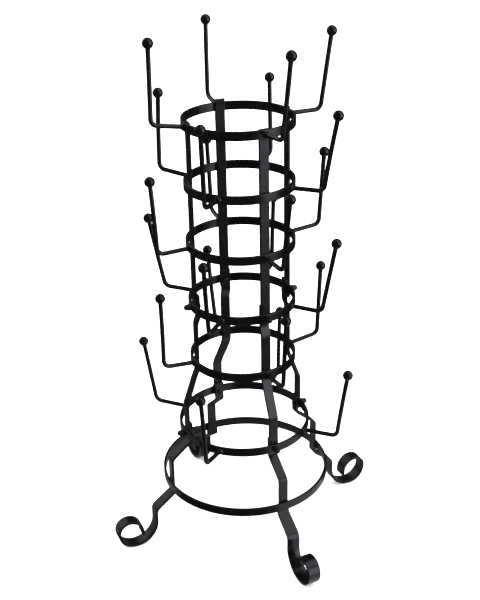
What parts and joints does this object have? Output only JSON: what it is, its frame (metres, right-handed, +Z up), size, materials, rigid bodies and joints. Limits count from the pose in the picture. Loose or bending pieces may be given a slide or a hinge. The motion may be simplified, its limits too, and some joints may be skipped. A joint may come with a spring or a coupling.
{
  "type": "mug tree",
  "caption": "Free-standing tower of flat-bar rings on scroll feet, with levels of upturned rod hooks that end in balls and hold mugs by the handle.",
  "frame": {"origin": "on the floor plane, at the middle of the four scroll feet, under the middle of the rings", "axes": "+Z up along the tower, +X towards the right-hand upright, -Y to the front"},
  "size_m": [0.3302, 0.3301, 0.5885],
  "materials": {
    "powder_coat": "satin black powder coat over mild steel",
    "screw_black": "black coated steel fasteners"
  },
  "bodies": {
    "root": {"ring_1": "powder_coat", "ring_2": "powder_coat", "ring_3": "powder_coat", "ring_4": "powder_coat", "ring_5": "powder_coat", "ring_6": "powder_coat", "ring_7": "powder_coat", "upright_right": "powder_coat", "upright_back": "powder_coat", "upright_left": "powder_coat", "upright_front": "powder_coat", "middle_bar_right": "powder_coat", "middle_bar_back": "powder_coat", "middle_bar_left": "powder_coat", "middle_bar_front": "powder_coat", "leg_right": "powder_coat", "leg_back": "powder_coat", "leg_left": "powder_coat", "leg_front": "powder_coat", "hook_1_right": "powder_coat", "hook_1_back": "powder_coat", "hook_1_left": "powder_coat", "hook_1_front": "powder_coat", "hook_2_back_right": "powder_coat", "hook_2_back_left": "powder_coat", "hook_2_front_left": "powder_coat", "hook_2_front_right": "powder_coat", "hook_3_right": "powder_coat", "hook_3_back": "powder_coat", "hook_3_left": "powder_coat", "hook_3_front": "powder_coat", "hook_4_back_right": "powder_coat", "hook_4_back_left": "powder_coat", "hook_4_front_left": "powder_coat", "hook_4_front_right": "powder_coat", "hook_5_right": "powder_coat", "hook_5_back": "powder_coat", "hook_5_left": "powder_coat", "hook_5_front": "powder_coat", "hook_6_back_right": "powder_coat", "hook_6_back_left": "powder_coat", "hook_6_front_left": "powder_coat", "hook_6_front_right": "powder_coat", "ball_tips_1": "powder_coat", "ball_tips_2": "powder_coat", "ball_tips_3": "powder_coat", "ball_tips_4": "powder_coat", "ball_tips_5": "powder_coat", "ball_tips_6": "powder_coat", "cage_screws": "screw_black", "waist_screws": "screw_black", "cage_nuts": "screw_black", "waist_nuts": "screw_black"}
  },
  "joints": []
}
